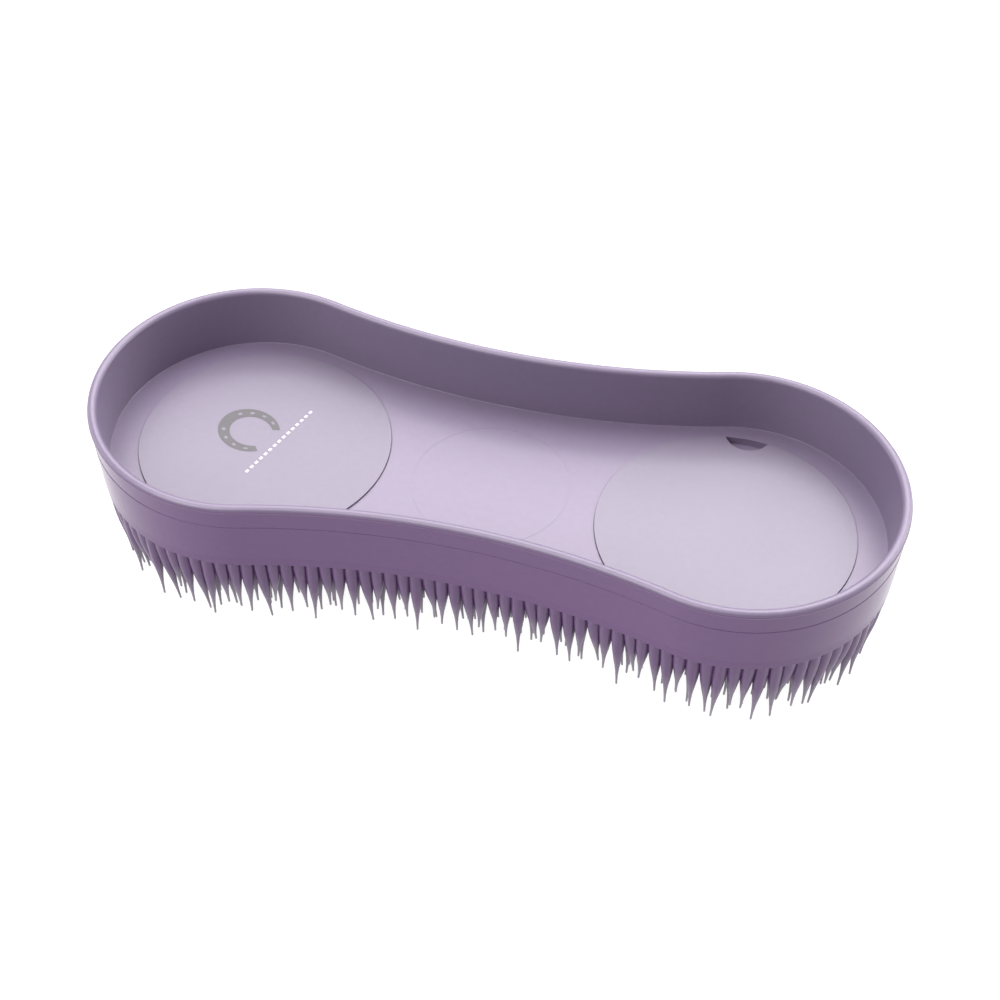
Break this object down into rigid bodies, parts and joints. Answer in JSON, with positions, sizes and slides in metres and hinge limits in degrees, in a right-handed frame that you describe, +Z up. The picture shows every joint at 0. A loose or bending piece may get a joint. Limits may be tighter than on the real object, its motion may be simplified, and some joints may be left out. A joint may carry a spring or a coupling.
{
  "type": "waisted grooming brush",
  "caption": "Palm-held horse grooming brush: waisted figure-of-eight tray grip with two lift-out round floor covers, over a soft pad carrying dense rings of tapered moulded needles.",
  "frame": {"origin": "on the ground under the middle of the brush, level with the tips of the long needles", "axes": "+X along the brush towards the end whose cover has its nail notch at the back, +Y across the brush away from the user, +Z up out of the tray"},
  "size_m": [0.165, 0.0644, 0.036],
  "materials": {
    "shell_plastic": "satin-gloss moulded polypropylene, lilac plum",
    "cover_plastic": "fine satin moulded polypropylene, paler lilac",
    "pad_elastomer": "smooth satin thermoplastic elastomer, lilac plum",
    "needle_elastomer": "slightly translucent thermoplastic elastomer, paler at the tips"
  },
  "bodies": {
    "brush": {"anchor_studs_left": "pad_elastomer", "anchor_studs_right": "pad_elastomer", "bristle_pad": "pad_elastomer", "grip_shell": "shell_plastic", "needle_middle_row": "needle_elastomer", "needle_ring_10_long": "needle_elastomer", "needle_ring_10_medium": "needle_elastomer", "needle_ring_10_short": "needle_elastomer", "needle_ring_1_long": "needle_elastomer", "needle_ring_1_medium": "needle_elastomer", "needle_ring_1_short": "needle_elastomer", "needle_ring_2_long": "needle_elastomer", "needle_ring_2_medium": "needle_elastomer", "needle_ring_2_short": "needle_elastomer", "needle_ring_3_long": "needle_elastomer", "needle_ring_3_medium": "needle_elastomer", "needle_ring_3_short": "needle_elastomer", "needle_ring_4_long": "needle_elastomer", "needle_ring_4_medium": "needle_elastomer", "needle_ring_4_short": "needle_elastomer", "needle_ring_5_long": "needle_elastomer", "needle_ring_5_medium": "needle_elastomer", "needle_ring_5_short": "needle_elastomer", "needle_ring_6_long": "needle_elastomer", "needle_ring_6_medium": "needle_elastomer", "needle_ring_6_short": "needle_elastomer", "needle_ring_7_long": "needle_elastomer", "needle_ring_7_medium": "needle_elastomer", "needle_ring_7_short": "needle_elastomer", "needle_ring_8_long": "needle_elastomer", "needle_ring_8_medium": "needle_elastomer", "needle_ring_8_short": "needle_elastomer", "needle_ring_9_long": "needle_elastomer", "needle_ring_9_medium": "needle_elastomer", "needle_ring_9_short": "needle_elastomer"},
    "cover_left": {"cover_disc_left": "cover_plastic"},
    "cover_right": {"cover_disc_right": "cover_plastic"}
  },
  "joints": [
    {"name": "cover_left_lift", "type": "slide", "parent": "brush", "child": "cover_left", "axis": [0, 0, 1], "range_m": [0, 0.03]},
    {"name": "cover_right_lift", "type": "slide", "parent": "brush", "child": "cover_right", "axis": [0, 0, 1], "range_m": [0, 0.03]}
  ]
}
